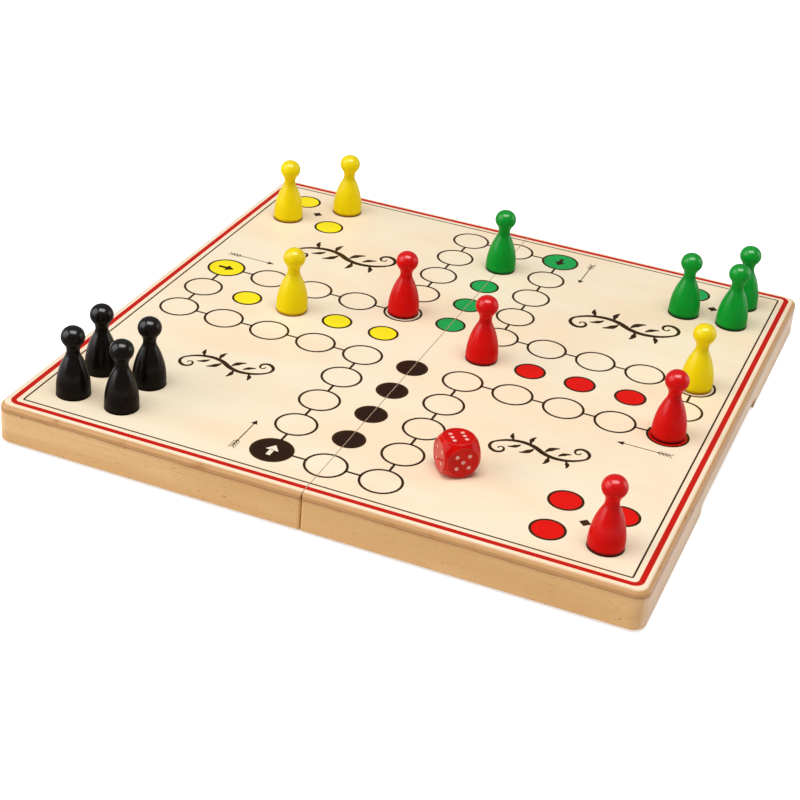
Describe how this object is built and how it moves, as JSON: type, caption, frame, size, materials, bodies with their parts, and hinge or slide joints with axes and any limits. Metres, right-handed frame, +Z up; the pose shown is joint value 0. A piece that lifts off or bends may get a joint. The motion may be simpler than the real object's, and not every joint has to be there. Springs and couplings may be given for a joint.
{
  "type": "folding ludo board box",
  "caption": "Two shallow wooden trays hinged along one seam: open they make a square ludo board, folded they close into a box for the pawns and die.",
  "frame": {"origin": "middle of the footprint, on the table that the open board stands on", "axes": "+X to the right along the front edge, +Y along the seam away from the front, +Z up from the table"},
  "size_m": [0.29, 0.29, 0.0517],
  "materials": {
    "printed_birch_ply": "pale birch plywood, screen printed and lacquered satin",
    "beech_wall": "solid beech, sanded and clear lacquered",
    "brass": "rolled sheet brass, bright",
    "black_lacquer": "turned beech, gloss black lacquer",
    "yellow_lacquer": "turned beech, gloss yellow lacquer",
    "green_lacquer": "turned beech, gloss green lacquer",
    "red_lacquer": "turned beech, gloss red lacquer",
    "red_die": "red acrylic, tumbled to a gloss",
    "white_pip": "white paint in the pips"
  },
  "bodies": {
    "left_half": {"left_panel": "printed_birch_ply", "left_front_wall": "beech_wall", "left_back_wall": "beech_wall", "left_end_wall": "beech_wall", "left_seam_wall": "beech_wall", "front_hinge_left_leaf": "brass", "back_hinge_left_leaf": "brass", "front_hinge_pin": "brass", "back_hinge_pin": "brass", "left_hinge_screws": "brass"},
    "right_half": {"right_panel": "printed_birch_ply", "right_front_wall": "beech_wall", "right_back_wall": "beech_wall", "right_end_wall": "beech_wall", "right_seam_wall": "beech_wall", "front_hinge_right_leaf": "brass", "back_hinge_right_leaf": "brass", "right_hinge_screws": "brass"},
    "pawn_black_1": {"pawn_black_1": "black_lacquer"},
    "pawn_black_2": {"pawn_black_2": "black_lacquer"},
    "pawn_black_3": {"pawn_black_3": "black_lacquer"},
    "pawn_black_4": {"pawn_black_4": "black_lacquer"},
    "pawn_yellow_1": {"pawn_yellow_1": "yellow_lacquer"},
    "pawn_yellow_2": {"pawn_yellow_2": "yellow_lacquer"},
    "pawn_yellow_3": {"pawn_yellow_3": "yellow_lacquer"},
    "pawn_yellow_4": {"pawn_yellow_4": "yellow_lacquer"},
    "pawn_green_1": {"pawn_green_1": "green_lacquer"},
    "pawn_green_2": {"pawn_green_2": "green_lacquer"},
    "pawn_green_3": {"pawn_green_3": "green_lacquer"},
    "pawn_green_4": {"pawn_green_4": "green_lacquer"},
    "pawn_red_1": {"pawn_red_1": "red_lacquer"},
    "pawn_red_2": {"pawn_red_2": "red_lacquer"},
    "pawn_red_3": {"pawn_red_3": "red_lacquer"},
    "pawn_red_4": {"pawn_red_4": "red_lacquer"},
    "die": {"die": "red_die", "die_pips": "white_pip"}
  },
  "joints": [
    {"name": "fold", "type": "hinge", "parent": "left_half", "child": "right_half", "pos_m": [0, 0, 0.0012], "axis": [0, 1, 0], "range_deg": [0, 180]},
    {"name": "lift_pawn_black_1", "type": "slide", "parent": "left_half", "child": "pawn_black_1", "axis": [0, 0, 1], "range_m": [0, 0.06]},
    {"name": "lift_pawn_black_2", "type": "slide", "parent": "left_half", "child": "pawn_black_2", "axis": [0, 0, 1], "range_m": [0, 0.06]},
    {"name": "lift_pawn_black_3", "type": "slide", "parent": "left_half", "child": "pawn_black_3", "axis": [0, 0, 1], "range_m": [0, 0.06]},
    {"name": "lift_pawn_black_4", "type": "slide", "parent": "left_half", "child": "pawn_black_4", "axis": [0, 0, 1], "range_m": [0, 0.06]},
    {"name": "lift_pawn_yellow_1", "type": "slide", "parent": "left_half", "child": "pawn_yellow_1", "axis": [0, 0, 1], "range_m": [0, 0.06]},
    {"name": "lift_pawn_yellow_2", "type": "slide", "parent": "left_half", "child": "pawn_yellow_2", "axis": [0, 0, 1], "range_m": [0, 0.06]},
    {"name": "lift_pawn_yellow_3", "type": "slide", "parent": "left_half", "child": "pawn_yellow_3", "axis": [0, 0, 1], "range_m": [0, 0.06]},
    {"name": "lift_pawn_yellow_4", "type": "slide", "parent": "right_half", "child": "pawn_yellow_4", "axis": [0, 0, 1], "range_m": [0, 0.06]},
    {"name": "lift_pawn_green_1", "type": "slide", "parent": "left_half", "child": "pawn_green_1", "axis": [0, 0, 1], "range_m": [0, 0.06]},
    {"name": "lift_pawn_green_2", "type": "slide", "parent": "right_half", "child": "pawn_green_2", "axis": [0, 0, 1], "range_m": [0, 0.06]},
    {"name": "lift_pawn_green_3", "type": "slide", "parent": "right_half", "child": "pawn_green_3", "axis": [0, 0, 1], "range_m": [0, 0.06]},
    {"name": "lift_pawn_green_4", "type": "slide", "parent": "right_half", "child": "pawn_green_4", "axis": [0, 0, 1], "range_m": [0, 0.06]},
    {"name": "lift_pawn_red_1", "type": "slide", "parent": "left_half", "child": "pawn_red_1", "axis": [0, 0, 1], "range_m": [0, 0.06]},
    {"name": "lift_pawn_red_2", "type": "slide", "parent": "right_half", "child": "pawn_red_2", "axis": [0, 0, 1], "range_m": [0, 0.06]},
    {"name": "lift_pawn_red_3", "type": "slide", "parent": "right_half", "child": "pawn_red_3", "axis": [0, 0, 1], "range_m": [0, 0.06]},
    {"name": "lift_pawn_red_4", "type": "slide", "parent": "right_half", "child": "pawn_red_4", "axis": [0, 0, 1], "range_m": [0, 0.06]},
    {"name": "lift_die", "type": "slide", "parent": "right_half", "child": "die", "axis": [0, 0, 1], "range_m": [0, 0.06]}
  ]
}
